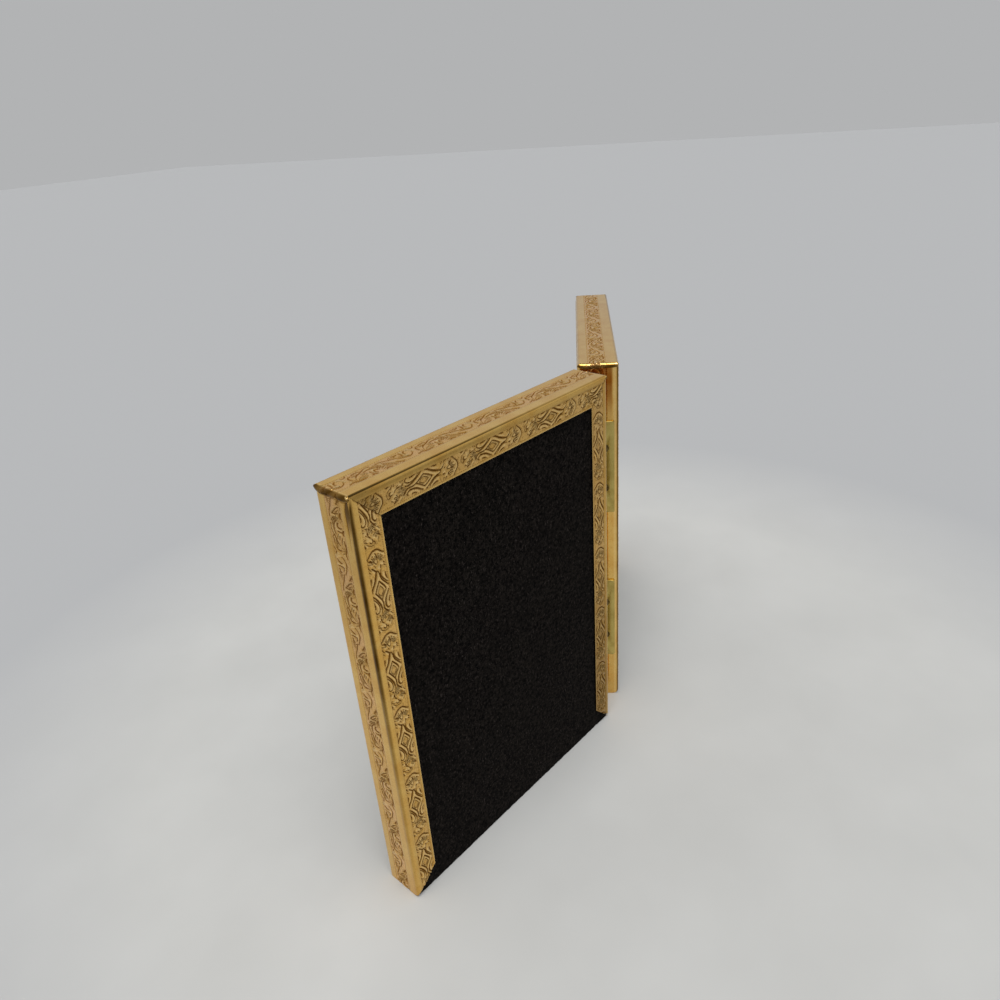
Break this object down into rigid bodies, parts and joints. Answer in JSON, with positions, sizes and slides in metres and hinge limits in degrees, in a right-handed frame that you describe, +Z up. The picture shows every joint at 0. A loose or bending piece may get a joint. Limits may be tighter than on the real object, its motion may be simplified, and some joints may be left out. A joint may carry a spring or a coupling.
{
  "type": "hinged double photo frame",
  "caption": "Folding double photo frame with embossed gold-tone metal leaves, glass fronts and black felt backs, joined by hinges.",
  "frame": {"origin": "on the table, under the middle of the open pair's box", "axes": "+Z up, +X across the pair towards the right leaf as seen from the fronts, fronts towards -Y, backs towards +Y"},
  "size_m": [0.2822, 0.0612, 0.19],
  "materials": {
    "embossed_gold_metal": "embossed, satin gold lacquer",
    "hinge_brass": "satin",
    "rivet_brass": "darkened",
    "picture_glass": "clear",
    "insert_paper": "matt",
    "pad_card": "matt",
    "back_hardboard": "pressed hardboard",
    "black_felt": "matt, fibrous"
  },
  "bodies": {
    "right_leaf": {"right_top_rail": "embossed_gold_metal", "right_outer_rail": "embossed_gold_metal", "right_hinge_rail": "embossed_gold_metal", "right_bottom_rail": "embossed_gold_metal", "right_glass": "picture_glass", "right_photo_insert": "insert_paper", "right_filler_pad": "pad_card", "right_hinge_rivets": "rivet_brass", "right_upper_hinge_plate": "hinge_brass", "right_lower_hinge_plate": "hinge_brass", "upper_hinge_pin": "hinge_brass", "lower_hinge_pin": "hinge_brass"},
    "left_leaf": {"left_top_rail": "embossed_gold_metal", "left_outer_rail": "embossed_gold_metal", "left_hinge_rail": "embossed_gold_metal", "left_bottom_rail": "embossed_gold_metal", "left_glass": "picture_glass", "left_photo_insert": "insert_paper", "left_filler_pad": "pad_card", "left_hinge_rivets": "rivet_brass", "left_upper_hinge_plate": "hinge_brass", "left_lower_hinge_plate": "hinge_brass"},
    "right_back": {"right_back_board": "back_hardboard", "right_back_felt": "black_felt"},
    "left_back": {"left_back_board": "back_hardboard", "left_back_felt": "black_felt"}
  },
  "joints": [
    {"name": "fold", "type": "hinge", "parent": "right_leaf", "child": "left_leaf", "pos_m": [0, 0.01348, 0], "axis": [0, 0, 1], "range_deg": [-47.2, 142.8]},
    {"name": "right_back_slide", "type": "slide", "parent": "right_leaf", "child": "right_back", "axis": [0, 0, -1], "range_m": [0, 0.19]},
    {"name": "left_back_slide", "type": "slide", "parent": "left_leaf", "child": "left_back", "axis": [0, 0, -1], "range_m": [0, 0.19]}
  ]
}
